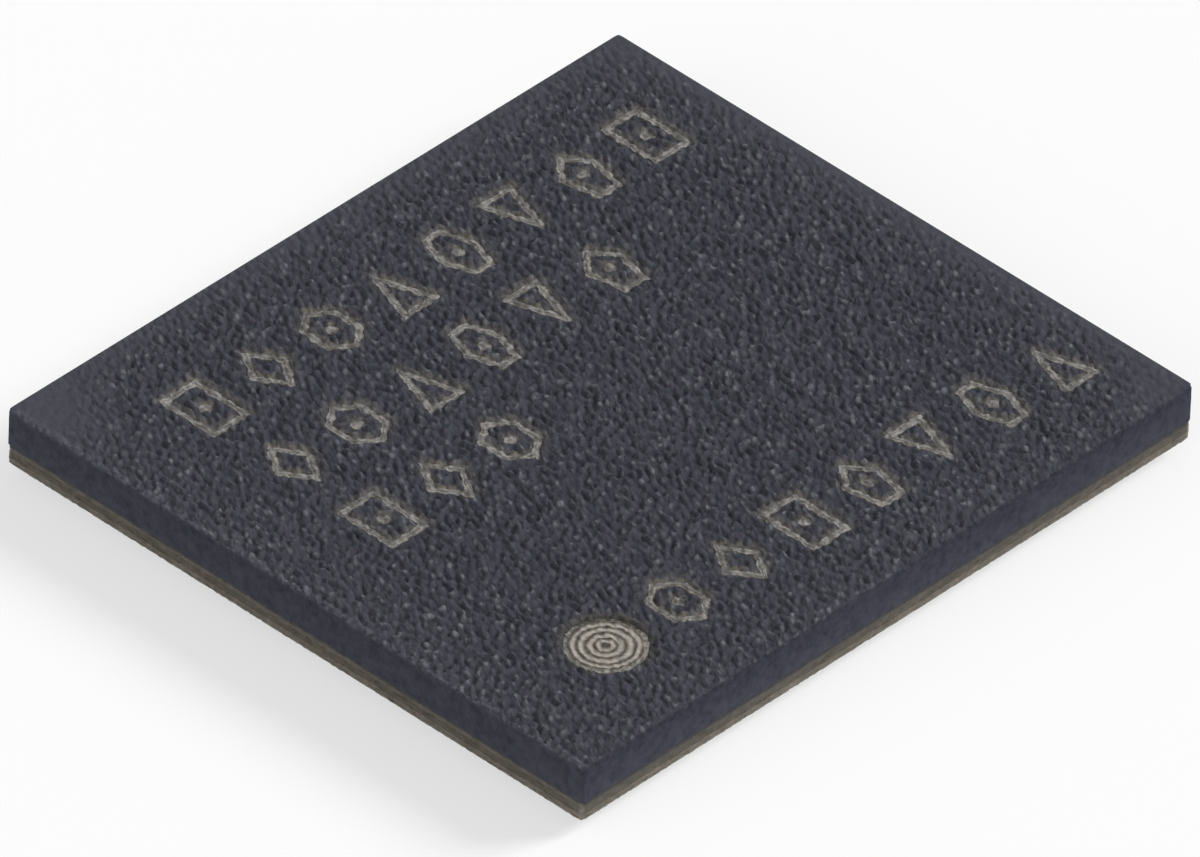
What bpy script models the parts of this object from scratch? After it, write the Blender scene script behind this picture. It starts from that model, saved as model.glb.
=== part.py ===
"""RF transceiver chip: a flip-chip die on a layered laminate, moulded over and standing on solder balls.

Metres, +Z up. The origin is the centre of the seating plane under the balls. +X runs along the rows of marks
on the top, and the round mark of the first contact is at the -X, -Y corner. A value such as 7.4e-3 is 7.4 mm.
"""

import math

import bmesh
import bpy
from mathutils import Matrix, Vector

# Body
BODY_LENGTH = 7.4e-3
BODY_WIDTH = 6.7e-3
MOULD_THICKNESS = 0.392e-3
STANDOFF = 0.15e-3
ASSEMBLY_GAP = 0.002e-3

# Substrate layers
MASK_THICKNESS = 0.018e-3
COPPER_THICKNESS = 0.010e-3
OUTER_LAMINATE_THICKNESS = 0.045e-3
CORE_THICKNESS = 0.055e-3
COPPER_SETBACK = 0.15e-3

# Vias through the laminate, in a block under the die
VIA_RADIUS = 0.06e-3
VIA_CLEARANCE = 0.01e-3
VIA_PITCH = 0.9e-3
VIA_COLUMNS = 4
VIA_ROWS = 3
VIA_SIDES = 6

# Solder balls, each a round cut flat by its land above and by the seating plane below
BALL_PITCH = 0.65e-3
BALL_EDGE_MARGIN = 0.4e-3
BALL_LAND_RADIUS = 0.115e-3
BALL_FLAT_RADIUS = 0.07e-3
BALL_SIDES = 8
BALL_RINGS = 3
MASK_OPENING_CLEARANCE = 0.02e-3

# Die and its copper pillars
DIE_LENGTH = 4.6e-3
DIE_WIDTH = 4.2e-3
DIE_THICKNESS = 0.15e-3
PILLAR_HEIGHT = 0.06e-3
PILLAR_RADIUS = 0.05e-3
PILLAR_PITCH = 0.7e-3
PILLAR_EDGE_MARGIN = 0.2e-3
PILLAR_SIDES = 6
PILLAR_CLEARANCE = 0.01e-3

# Underfill: it fills the window in the top mask and climbs the die's sides as a sloping fillet
FILLET_WIDTH = 0.2e-3
FILLET_RIM = 0.02e-3
FILLET_DROP = 0.08e-3

# Laser marks on the top face
ENGRAVING_DEPTH = 0.015e-3
MARK_WIDTH = 0.45e-3
MARK_HEIGHT = 0.66e-3
MARK_STROKE = 0.065e-3
MARK_DOT_RADIUS = 0.055e-3
MARK_ROW_PITCH = 1.04e-3
MARK_BACK_MARGIN = 1.14e-3
MARK_LEFT_MARGIN = 1.2e-3
MARK_RIGHT_MARGIN = 0.85e-3
BACK_ROW_PLACES = (8, 6, 3)
FRONT_ROW_PLACES = 7
FRONT_ROW_MARGIN = 1.0e-3
FRONT_ROW_RIGHT_MARGIN = 0.64e-3

# Round mark of the first contact
FIRST_MARK_RADIUS = 0.365e-3
FIRST_MARK_LEFT_MARGIN = 1.32e-3
FIRST_MARK_FRONT_MARGIN = 1.01e-3
RING_PITCH = 0.075e-3
RING_GROOVE = 0.04e-3
RING_SIDES = 24

# Cutters run this far past the face that they open
OVERCUT = 0.05e-3

# Heights of the layers above the seating plane, each the underside of its layer
LOWER_MASK_BASE = STANDOFF
LOWER_LAMINATE_BASE = LOWER_MASK_BASE + MASK_THICKNESS + ASSEMBLY_GAP
CORE_BASE = LOWER_LAMINATE_BASE + OUTER_LAMINATE_THICKNESS + ASSEMBLY_GAP
UPPER_LAMINATE_BASE = CORE_BASE + CORE_THICKNESS + ASSEMBLY_GAP
UPPER_MASK_BASE = UPPER_LAMINATE_BASE + OUTER_LAMINATE_THICKNESS + ASSEMBLY_GAP
MOULD_BASE = UPPER_MASK_BASE + MASK_THICKNESS + ASSEMBLY_GAP

# The outer copper lies in a recess of each mask, and the inner copper in a recess of each outer laminate
RECESS_DEPTH = COPPER_THICKNESS + ASSEMBLY_GAP
BOTTOM_COPPER_BASE = LOWER_LAMINATE_BASE - ASSEMBLY_GAP - COPPER_THICKNESS
INNER_LOWER_COPPER_BASE = CORE_BASE - ASSEMBLY_GAP - COPPER_THICKNESS
INNER_UPPER_COPPER_BASE = UPPER_LAMINATE_BASE
TOP_COPPER_BASE = UPPER_MASK_BASE
TOP_COPPER_TOP = TOP_COPPER_BASE + COPPER_THICKNESS
COPPER_LENGTH = BODY_LENGTH - 2 * COPPER_SETBACK
COPPER_WIDTH = BODY_WIDTH - 2 * COPPER_SETBACK

# Heights of the die, and the window that its underfill fills
DIE_BASE = TOP_COPPER_TOP + ASSEMBLY_GAP + PILLAR_HEIGHT
DIE_TOP = DIE_BASE + DIE_THICKNESS
UNDERFILL_BASE = TOP_COPPER_TOP + ASSEMBLY_GAP
FILLET_TOP = DIE_TOP - FILLET_DROP
WINDOW_LENGTH = DIE_LENGTH + 2 * FILLET_WIDTH
WINDOW_WIDTH = DIE_WIDTH + 2 * FILLET_WIDTH

# Plain closed figures that stand in the places of the marks: the number of sides, the turn of the first corner
# in degrees, and the number of sides of the dot inside, which is 0 where there is none
FIGURES = (
    (4, 45.0, 4),
    (4, 0.0, 0),
    (6, 30.0, 6),
    (3, 90.0, 0),
    (6, 0.0, 4),
    (3, -90.0, 0),
    (5, 90.0, 6),
)


def clear_scene():
    for thing in list(bpy.data.objects):
        bpy.data.objects.remove(thing, do_unlink=True)


def finish_material(name, colour, roughness, metallic=0.0):
    material = bpy.data.materials.new(name)
    material.use_nodes = True
    shader = material.node_tree.nodes["Principled BSDF"]
    shader.inputs["Base Color"].default_value = (*colour, 1.0)
    shader.inputs["Roughness"].default_value = roughness
    shader.inputs["Metallic"].default_value = metallic
    return material


def mould_compound():
    return finish_material("mould_compound", (0.053, 0.053, 0.064), 0.62)


def silicon():
    return finish_material("silicon", (0.22, 0.23, 0.25), 0.25, 0.5)


def underfill_epoxy():
    return finish_material("underfill_epoxy", (0.035, 0.033, 0.032), 0.4)


def solder_mask():
    return finish_material("solder_mask", (0.055, 0.065, 0.035), 0.45)


def copper():
    return finish_material("copper", (0.72, 0.38, 0.24), 0.4, 1.0)


def outer_laminate():
    return finish_material("outer_laminate", (0.17, 0.155, 0.12), 0.6)


def core_laminate():
    return finish_material("core_laminate", (0.085, 0.072, 0.052), 0.65)


def solder():
    return finish_material("solder", (0.72, 0.72, 0.73), 0.32, 1.0)


def add_object(name, shape, base, parent, material):
    """The shape as an object whose origin is the centre of its underside, at the height base."""
    mesh = bpy.data.meshes.new(name)
    shape.to_mesh(mesh)
    shape.free()
    part = bpy.data.objects.new(name, mesh)
    part.location = (0.0, 0.0, base)
    part.parent = parent
    bpy.context.scene.collection.objects.link(part)
    if material:
        mesh.materials.append(material)
    return part


def add_tool(name, shape, base, parent):
    """A shape that a Boolean adds or takes away, left out of the finished part."""
    tool = add_object(name, shape, base, parent, None)
    tool.hide_render = True
    tool.display_type = "WIRE"
    return tool


def combine(part, tool, operation):
    step = part.modifiers.new(tool.name, "BOOLEAN")
    step.operation = operation
    step.object = tool


def add_block(shape, length, width, low, high):
    centre = Matrix.Translation((0.0, 0.0, (low + high) / 2))
    size = Matrix.Diagonal((length, width, high - low, 1.0))
    bmesh.ops.create_cube(shape, size=1.0, matrix=centre @ size)


def block(length, width, low, high):
    shape = bmesh.new()
    add_block(shape, length, width, low, high)
    return shape


def close_rings(shape, rings):
    """Joins rings of points, listed from the bottom up, and closes both ends."""
    loops = [[shape.verts.new(point) for point in ring] for ring in rings]
    for lower, upper in zip(loops, loops[1:]):
        for here, after in zip(range(len(lower)), [*range(1, len(lower)), 0]):
            shape.faces.new((lower[here], lower[after], upper[after], upper[here]))
    shape.faces.new(loops[0][::-1])
    shape.faces.new(loops[-1])


def add_prism(shape, outline, low, high):
    close_rings(shape, [[(x, y, height) for x, y in outline] for height in (low, high)])


def add_ring(shape, outer, inner, low, high):
    """A closed band of the depth from low to high between two outlines with as many points."""
    corners = ((outer, low), (outer, high), (inner, high), (inner, low))
    loops = [[shape.verts.new((x, y, height)) for x, y in outline] for outline, height in corners]
    for first, second in zip(loops, loops[1:] + loops[:1]):
        for here, after in zip(range(len(first)), [*range(1, len(first)), 0]):
            shape.faces.new((first[here], first[after], second[after], second[here]))


def add_rectangle_loft(shape, sections):
    """A solid through centred rectangles, each given as its length, width and height."""
    rings = []
    for length, width, height in sections:
        x, y = length / 2, width / 2
        rings.append([(-x, -y, height), (x, -y, height), (x, y, height), (-x, y, height)])
    close_rings(shape, rings)


def polygon(radius, sides, centre=(0.0, 0.0), turn=0.0):
    points = []
    for step in range(sides):
        angle = turn + 2 * math.pi * step / sides
        points.append((centre[0] + radius * math.cos(angle), centre[1] + radius * math.sin(angle)))
    return points


def fit_outline(outline, width, height, centre):
    """The outline stretched to fill a box of that width and height round the centre."""
    spans = [(min(values), max(values)) for values in zip(*outline)]
    points = []
    for point in outline:
        placed = []
        for value, (low, high), size, middle in zip(point, spans, (width, height), centre):
            placed.append(middle + ((value - low) / (high - low) - 0.5) * size)
        points.append(tuple(placed))
    return points


def inset_outline(outline, distance):
    """A convex outline, listed anticlockwise, with every side moved in by the distance."""
    points = []
    for before, here, after in zip(outline[-1:] + outline[:-1], outline, outline[1:] + outline[:1]):
        first = (Vector(here) - Vector(before)).normalized()
        second = (Vector(after) - Vector(here)).normalized()
        inward = Vector((-first.y - second.y, first.x + second.x))
        reach = distance / (1.0 + first.dot(second))
        points.append(tuple(Vector(here) + inward * reach))
    return points


def grid(columns, rows, pitch):
    for column in range(columns):
        for row in range(rows):
            yield (column - (columns - 1) / 2) * pitch, (row - (rows - 1) / 2) * pitch


def grid_within(length, width, margin, pitch):
    """As many places as fit between the margins, centred."""
    columns = int((length - 2 * margin) / pitch + 1e-6) + 1
    rows = int((width - 2 * margin) / pitch + 1e-6) + 1
    return grid(columns, rows, pitch)


def via_places():
    return grid(VIA_COLUMNS, VIA_ROWS, VIA_PITCH)


def pillar_places():
    return grid_within(DIE_LENGTH, DIE_WIDTH, PILLAR_EDGE_MARGIN, PILLAR_PITCH)


def ball_places():
    return grid_within(BODY_LENGTH, BODY_WIDTH, BALL_EDGE_MARGIN, BALL_PITCH)


def prisms(places, radius, sides, low, high):
    shape = bmesh.new()
    for place in places:
        add_prism(shape, polygon(radius, sides, place), low, high)
    return shape


def cut_via_holes(part, low, high):
    holes = prisms(via_places(), VIA_RADIUS + VIA_CLEARANCE, VIA_SIDES, low - OVERCUT, high + OVERCUT)
    tool = add_tool(f"{part.name}_via_holes", holes, 0.0, part.parent)
    combine(part, tool, "DIFFERENCE")


def cut_recess(part, low, high):
    """Room for a copper sheet, with the assembly gap round its edge."""
    room = block(COPPER_LENGTH + 2 * ASSEMBLY_GAP, COPPER_WIDTH + 2 * ASSEMBLY_GAP, low, high)
    tool = add_tool(f"{part.name}_recess", room, 0.0, part.parent)
    combine(part, tool, "DIFFERENCE")


def copper_sheet(name, base, laminate_base, parent, material):
    """A copper layer over a laminate, with the vias that run down through that laminate."""
    part = add_object(name, block(COPPER_LENGTH, COPPER_WIDTH, 0.0, COPPER_THICKNESS), base, parent, material)
    vias = prisms(via_places(), VIA_RADIUS, VIA_SIDES, laminate_base, base + COPPER_THICKNESS / 2)
    combine(part, add_tool(f"{name}_vias", vias, 0.0, parent), "UNION")
    return part


def build_lower_mask(parent, material):
    shape = block(BODY_LENGTH, BODY_WIDTH, 0.0, MASK_THICKNESS)
    part = add_object("solder_mask_bottom", shape, LOWER_MASK_BASE, parent, material)
    top = LOWER_MASK_BASE + MASK_THICKNESS
    cut_recess(part, top - RECESS_DEPTH, top + OVERCUT)
    radius = BALL_LAND_RADIUS + MASK_OPENING_CLEARANCE
    openings = prisms(ball_places(), radius, BALL_SIDES, LOWER_MASK_BASE - OVERCUT, top + OVERCUT)
    combine(part, add_tool("ball_openings", openings, 0.0, parent), "DIFFERENCE")


def ball_profile():
    """Radius and height of each ring of a ball, from the seating plane up to its land."""
    rise = BOTTOM_COPPER_BASE
    centre = (BALL_LAND_RADIUS**2 + rise**2 - BALL_FLAT_RADIUS**2) / (2 * rise)
    radius = math.hypot(BALL_FLAT_RADIUS, centre)
    start = math.atan2(-centre, BALL_FLAT_RADIUS)
    end = math.atan2(rise - centre, BALL_LAND_RADIUS)
    for ring in range(BALL_RINGS):
        angle = start + (end - start) * ring / (BALL_RINGS - 1)
        yield radius * math.cos(angle), centre + radius * math.sin(angle)


def build_ball_grid(parent, material):
    """The bottom copper layer with the balls soldered to it, as one piece."""
    shape = block(COPPER_LENGTH, COPPER_WIDTH, 0.0, COPPER_THICKNESS)
    part = add_object("ball_grid", shape, BOTTOM_COPPER_BASE, parent, material)
    balls = bmesh.new()
    for place in ball_places():
        rings = []
        for radius, height in ball_profile():
            rings.append([(x, y, height) for x, y in polygon(radius, BALL_SIDES, place)])
        seated = BOTTOM_COPPER_BASE + COPPER_THICKNESS / 2
        rings.append([(x, y, seated) for x, y in polygon(BALL_LAND_RADIUS, BALL_SIDES, place)])
        close_rings(balls, rings)
    tool = add_tool("ball_shapes", balls, 0.0, parent)
    tool.data.shade_smooth()
    tool.data.set_sharp_from_angle(angle=math.radians(50.0))
    combine(part, tool, "UNION")


def build_lower_laminate(parent, material):
    shape = block(BODY_LENGTH, BODY_WIDTH, 0.0, OUTER_LAMINATE_THICKNESS)
    part = add_object("laminate_lower", shape, LOWER_LAMINATE_BASE, parent, material)
    top = LOWER_LAMINATE_BASE + OUTER_LAMINATE_THICKNESS
    cut_recess(part, top - RECESS_DEPTH, top + OVERCUT)
    cut_via_holes(part, LOWER_LAMINATE_BASE, top)


def build_core(parent, material):
    shape = block(BODY_LENGTH, BODY_WIDTH, 0.0, CORE_THICKNESS)
    part = add_object("laminate_core", shape, CORE_BASE, parent, material)
    cut_via_holes(part, CORE_BASE, CORE_BASE + CORE_THICKNESS)


def build_upper_laminate(parent, material):
    shape = block(BODY_LENGTH, BODY_WIDTH, 0.0, OUTER_LAMINATE_THICKNESS)
    part = add_object("laminate_upper", shape, UPPER_LAMINATE_BASE, parent, material)
    cut_recess(part, UPPER_LAMINATE_BASE - OVERCUT, UPPER_LAMINATE_BASE + RECESS_DEPTH)
    cut_via_holes(part, UPPER_LAMINATE_BASE, UPPER_LAMINATE_BASE + OUTER_LAMINATE_THICKNESS)


def build_upper_mask(parent, material):
    shape = block(BODY_LENGTH, BODY_WIDTH, 0.0, MASK_THICKNESS)
    part = add_object("solder_mask_top", shape, UPPER_MASK_BASE, parent, material)
    cut_recess(part, UPPER_MASK_BASE - OVERCUT, UPPER_MASK_BASE + RECESS_DEPTH)
    window = block(WINDOW_LENGTH, WINDOW_WIDTH, UPPER_MASK_BASE - OVERCUT, MOULD_BASE + OVERCUT)
    combine(part, add_tool("die_window", window, 0.0, parent), "DIFFERENCE")


def build_copper(parent, material):
    copper_sheet("copper_inner_lower", INNER_LOWER_COPPER_BASE, LOWER_LAMINATE_BASE, parent, material)
    copper_sheet("copper_inner_upper", INNER_UPPER_COPPER_BASE, CORE_BASE, parent, material)
    copper_sheet("copper_top", TOP_COPPER_BASE, UPPER_LAMINATE_BASE + RECESS_DEPTH, parent, material)


def build_die(parent, material):
    """The silicon die with the copper pillars that are plated on its underside."""
    part = add_object("silicon_die", block(DIE_LENGTH, DIE_WIDTH, 0.0, DIE_THICKNESS), DIE_BASE, parent, material)
    pillars = prisms(pillar_places(), PILLAR_RADIUS, PILLAR_SIDES, UNDERFILL_BASE, DIE_BASE + DIE_THICKNESS / 2)
    combine(part, add_tool("die_pillars", pillars, 0.0, parent), "UNION")


def fillet_sections(clearance, low, foot):
    """Rectangles of the underfill's outside, from low up past its foot to the top of its sloping fillet."""
    rim = 2 * (FILLET_RIM + clearance)
    grown = 2 * clearance
    return (
        (WINDOW_LENGTH + grown, WINDOW_WIDTH + grown, low),
        (WINDOW_LENGTH + grown, WINDOW_WIDTH + grown, foot + clearance),
        (DIE_LENGTH + rim, DIE_WIDTH + rim, FILLET_TOP + clearance),
    )


def build_underfill(parent, material):
    shape = bmesh.new()
    add_rectangle_loft(shape, fillet_sections(-ASSEMBLY_GAP, UNDERFILL_BASE, MOULD_BASE))
    part = add_object("underfill", shape, 0.0, parent, material)
    room = block(
        DIE_LENGTH + 2 * ASSEMBLY_GAP,
        DIE_WIDTH + 2 * ASSEMBLY_GAP,
        DIE_BASE - ASSEMBLY_GAP,
        DIE_TOP + OVERCUT,
    )
    combine(part, add_tool("underfill_die_room", room, 0.0, parent), "DIFFERENCE")
    radius = PILLAR_RADIUS + PILLAR_CLEARANCE
    holes = prisms(pillar_places(), radius, PILLAR_SIDES, UNDERFILL_BASE - OVERCUT, DIE_BASE + OVERCUT)
    combine(part, add_tool("underfill_pillar_holes", holes, 0.0, parent), "DIFFERENCE")


def mark_places():
    """Centres of the marks: three rows from the back edge, and one in line with the round mark."""
    pitch = (BODY_LENGTH - MARK_LEFT_MARGIN - MARK_RIGHT_MARGIN) / (BACK_ROW_PLACES[0] - 1)
    left = -BODY_LENGTH / 2 + MARK_LEFT_MARGIN
    back = BODY_WIDTH / 2 - MARK_BACK_MARGIN
    for row, places in enumerate(BACK_ROW_PLACES):
        for place in range(places):
            yield left + place * pitch, back - row * MARK_ROW_PITCH
    right = BODY_LENGTH / 2 - FRONT_ROW_RIGHT_MARGIN
    front = -BODY_WIDTH / 2 + FRONT_ROW_MARGIN
    for place in range(FRONT_ROW_PLACES):
        yield right - place * pitch, front


def mark_grooves(low, high):
    shape = bmesh.new()
    for index, place in enumerate(mark_places()):
        sides, turn, dot_sides = FIGURES[index % len(FIGURES)]
        plain = polygon(1.0, sides, turn=math.radians(turn))
        outer = fit_outline(plain, MARK_WIDTH, MARK_HEIGHT, place)
        add_ring(shape, outer, inset_outline(outer, MARK_STROKE), low, high)
        if dot_sides:
            add_prism(shape, polygon(MARK_DOT_RADIUS, dot_sides, place), low, high)
    return shape


def first_mark_grooves(low, high):
    """Round grooves, a ring pitch apart."""
    shape = bmesh.new()
    centre = (-BODY_LENGTH / 2 + FIRST_MARK_LEFT_MARGIN, -BODY_WIDTH / 2 + FIRST_MARK_FRONT_MARGIN)
    radius = FIRST_MARK_RADIUS
    while radius > RING_GROOVE:
        outer = polygon(radius, RING_SIDES, centre)
        add_ring(shape, outer, polygon(radius - RING_GROOVE, RING_SIDES, centre), low, high)
        radius -= RING_PITCH
    return shape


def build_mould_cap(parent, material):
    """The moulded cap, with the room that its die and underfill take up and the marks burnt in its top."""
    top = MOULD_BASE + MOULD_THICKNESS
    part = add_object("mould_cap", block(BODY_LENGTH, BODY_WIDTH, 0.0, MOULD_THICKNESS), MOULD_BASE, parent, material)
    fillet_room = bmesh.new()
    add_rectangle_loft(fillet_room, fillet_sections(ASSEMBLY_GAP, MOULD_BASE - OVERCUT, MOULD_BASE))
    combine(part, add_tool("mould_fillet_room", fillet_room, 0.0, parent), "DIFFERENCE")
    die_room = block(
        DIE_LENGTH + 2 * ASSEMBLY_GAP,
        DIE_WIDTH + 2 * ASSEMBLY_GAP,
        MOULD_BASE - OVERCUT,
        DIE_TOP + ASSEMBLY_GAP,
    )
    combine(part, add_tool("mould_die_room", die_room, 0.0, parent), "DIFFERENCE")
    marks = mark_grooves(top - ENGRAVING_DEPTH, top + OVERCUT)
    combine(part, add_tool("mark_grooves", marks, 0.0, parent), "DIFFERENCE")
    first = first_mark_grooves(top - ENGRAVING_DEPTH, top + OVERCUT)
    combine(part, add_tool("first_mark_grooves", first, 0.0, parent), "DIFFERENCE")


def main():
    clear_scene()
    chip = bpy.data.objects.new("chip", None)
    bpy.context.scene.collection.objects.link(chip)
    mask = solder_mask()
    laminate = outer_laminate()
    build_mould_cap(chip, mould_compound())
    build_die(chip, silicon())
    build_underfill(chip, underfill_epoxy())
    build_upper_mask(chip, mask)
    build_upper_laminate(chip, laminate)
    build_core(chip, core_laminate())
    build_lower_laminate(chip, laminate)
    build_lower_mask(chip, mask)
    build_copper(chip, copper())
    build_ball_grid(chip, solder())


main()
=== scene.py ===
"""Looks of the RF transceiver chip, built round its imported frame.

Metres, in the part's own frame. A value such as 7.4e-3 is 7.4 mm.
"""

import math

import bmesh
import bpy
import numpy as np
from mathutils import Matrix, Vector


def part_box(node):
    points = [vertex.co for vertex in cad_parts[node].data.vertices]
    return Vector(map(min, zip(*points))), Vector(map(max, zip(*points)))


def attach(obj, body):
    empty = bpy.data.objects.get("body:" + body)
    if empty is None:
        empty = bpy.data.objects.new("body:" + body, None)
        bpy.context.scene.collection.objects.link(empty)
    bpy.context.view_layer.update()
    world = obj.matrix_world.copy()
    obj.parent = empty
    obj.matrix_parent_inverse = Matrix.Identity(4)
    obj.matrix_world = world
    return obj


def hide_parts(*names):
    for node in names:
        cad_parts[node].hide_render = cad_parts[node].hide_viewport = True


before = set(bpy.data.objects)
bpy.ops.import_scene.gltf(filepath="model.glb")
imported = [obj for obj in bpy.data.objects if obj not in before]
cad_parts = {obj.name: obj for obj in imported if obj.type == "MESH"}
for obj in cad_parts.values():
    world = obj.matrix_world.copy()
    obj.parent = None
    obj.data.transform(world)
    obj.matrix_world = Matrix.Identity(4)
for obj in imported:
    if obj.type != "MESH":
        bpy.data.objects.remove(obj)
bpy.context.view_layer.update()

# Camera, fitted to the corners of the body
CAMERA_AZIMUTH = -47.4675
CAMERA_ELEVATION = 38.3131
CAMERA_ROLL = 2.1068
CAMERA_DISTANCE = 308.632e-3
CAMERA_TARGET = (0.3446e-3, 0.3168e-3, 0.0)
CAMERA_LENS = 1100.0
CAMERA_CLIP = (0.01, 2.0)

# Light
WORLD_STRENGTH = 0.34
FLOOR_SIZE = 0.6
FLOOR_DROP = 0.0003e-3
FLOOR_COLOUR = (0.92, 0.92, 0.92, 1.0)
FLOOR_WHITE_SHARE = 0.6

# Lamps: name, level, azimuth, elevation and how wide they are
LAMPS = (("key", 0.56, 62.0, 33.0, 24.0), ("fill", 0.125, -90.0, 20.0, 60.0))

# Fine noise fields that shape the surfaces
FIELD_SPACING = 0.01e-3
FIELD_CELLS = 1024
FIELD_SPREAD = 0.4
ROUGH_SPREAD = 0.5

# Grain of the mould's top
GRAIN_COLUMNS = 290
GRAIN_ROWS = 263
GRAIN_SEED = 11
GRAIN_WAVE = 0.084e-3
GRAIN_SPREAD = 0.36
GRAIN_LEAN = (0.55, 0.835)
GRAIN_STRETCH = 1.45
GRAIN_TURN = math.atan2(GRAIN_LEAN[1], GRAIN_LEAN[0])
GRAIN_PEAK = 0.3
GRAIN_DEPTH = 0.0205e-3
GRAIN_SHARPNESS = 0.75
PEBBLE_SIZE = 0.05e-3
PEBBLE_HEIGHT = 0.022e-3
PEBBLE_STRETCH = (1.8, 1.0, 1.0)
PEBBLE_SMOOTHNESS = 0.45
FINE_WAVE = 0.04e-3
FINE_HEIGHT = 0.005e-3
SWELL_SEED = 12
SWELL_WAVE = 0.32e-3
SWELL_SHARE = 0.3
SKIN_DROP = 0.0215e-3
CALM_EDGE = 0.4e-3
CALM_EDGE_SHARE = 0.42
CALM_CORNERS = ((-1, 1, 1.2e-3, 0.8), (1, 1, 0.8e-3, 0.6), (1, -1, 0.9e-3, 0.62))
CALM_CORNER_CORE = 0.2
CALM_BAND = 0.15e-3
CALM_BAND_CORE = 0.3
CALM_BAND_SHARE = 0.7
STRAIGHT_EDGE = 0.06e-3
SOFT_EDGE = 0.07e-3
SOFT_EDGE_SHARE = 0.6

# Mould walls and underside
WALL_ROWS = 9
WALL_TOP_DROP = 0.034e-3
WALL_NEXT_DROP = 0.06e-3
WALL_SEED = 22
WALL_WAVE = 0.09e-3
WALL_ROUGHNESS = 0.0006e-3
WALL_BUMP_SHARE = 0.04
EDGE_SEED = 21
EDGE_WAVE = 0.1e-3
EDGE_ROUND = 0.008e-3
EDGE_LIP = 0.008e-3
BACK_EDGE_SHARE = 0.4
CORNER_ROUND = 0.04e-3
CORNER_TUCK = 0.2
# Pale bluish patches on the left and front rims and near the left edge: partly wear, partly painted light
# from the left
LEFT_WEAR_AND_EDGE_LIGHT = 0.88
FRONT_WEAR_AND_EDGE_LIGHT = 0.12
WEAR_AND_EDGE_LIGHT_REACH = 0.09e-3
WEAR_AND_EDGE_LIGHT_SHARE = 0.5
FIT_GAP = 0.002e-3
FILLET_RIM = 0.02e-3
FILLET_DROP = 0.08e-3

# How the top's looks give way to the walls', on the front edge and on the walls' first row
FRONT_FLANK = 0.5
FIRST_ROW_FLANK = 0.85
FIRST_ROW_SKIN = 0.35
FIRST_ROW_WEAR_AND_LIGHT = 0.15

# Uneven edges: the level, the swing and the limits of the noise that shapes them
RIM_DROP_NOISE = (0.8, 0.5, -1.4, 2.0)
RIM_LIP_NOISE = (1.0, 0.8, -1.2, 2.0)
WALL_NOISE = (1.0, 1.0, -1.0, 2.0)
SAW_NOISE = (0.0, 1.0, -1.5, 2.5)
RIM_WEAR_AND_LIGHT_LEVEL = 0.6
RIM_WEAR_AND_LIGHT_SWING = 0.4

# Laser marks, in the places where the part has its grooves
MARK_WIDTH = 0.45e-3
MARK_HEIGHT = 0.66e-3
MARK_STROKE = 0.065e-3
MARK_DOT_RADIUS = 0.055e-3
MARK_ROW_PITCH = 1.04e-3
MARK_BACK_MARGIN = 1.14e-3
MARK_LEFT_MARGIN = 1.2e-3
MARK_RIGHT_MARGIN = 0.85e-3
BACK_ROW_PLACES = (8, 6, 3)
FRONT_ROW_PLACES = 7
FRONT_ROW_MARGIN = 1.0e-3
FRONT_ROW_RIGHT_MARGIN = 0.64e-3
FIGURES = (
    (4, 45.0, 4),
    (4, 0.0, 0),
    (6, 30.0, 6),
    (3, 90.0, 0),
    (6, 0.0, 4),
    (3, -90.0, 0),
    (5, 90.0, 6),
)
TRACK_ACROSS = 13
TRACK_REACH = 1.35
TRACK_STEP = 0.0105e-3
TRACK_PLACE = 0.58
TRACK_SPREAD = 0.36
TRACK_RIM = 0.002e-3
TRACK_DEPTH = 0.006e-3
TRACK_WOBBLE = 0.0065e-3
TRACK_BURIED = 0.02e-3
BED_DEPTH = 0.019e-3
MARK_RELIEF = 0.35
BED_FADE = 0.014e-3
BED_INNER_FADE = 0.008e-3
DOT_RINGS = 9
DOT_SIDES = 30
DOT_CORE_TRACK = 0.2
WOBBLE_SEEDS = (31, 32)
WOBBLE_WAVE = 0.13e-3
WOBBLE_SHARE = 0.8
WOBBLE_FINE_SEED = 10
WOBBLE_FINE_WAVE = 0.05e-3
WOBBLE_FINE_SHARE = 0.5

# Round mark of the first contact; its turns from dark to pale and back are in ring units
ROUND_RADIUS = 0.365e-3
ROUND_SKIRT = 0.012e-3
ROUND_EASE = 0.006e-3
ROUND_LEFT_MARGIN = 1.32e-3
ROUND_FRONT_MARGIN = 1.01e-3
ROUND_RINGS = 42
ROUND_SIDES = 240
RING_TURNS = (0.0, 0.065, 0.098, 0.125, 0.17, 0.215, 0.248, 0.28, 0.314, 0.345, 0.38)
RING_UNIT = 1e-3
RING_LEVEL = 0.55
RING_SWING = 0.45
RING_CORE = (0.028e-3, 0.05e-3)
RING_EDGE = (0.318e-3, 0.336e-3)
RING_WOBBLE = (0.35, 0.9)
SOOT_SIDE = (0.3, 0.85)

# Scorch: brown beside the strokes and dark round the rings, on the side that the smoke was blown to
BROWN_REACH = 0.058e-3
CRUST_REACH = (0.75, 1.2)
CRUST_LEAN = 0.6
RIM_LOSS = 0.75
SCORCH_REACH = 0.055e-3
SCORCH_WEAKEST = 0.15
SCORCH_SIDE = np.array((0.735, 0.678))

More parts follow.
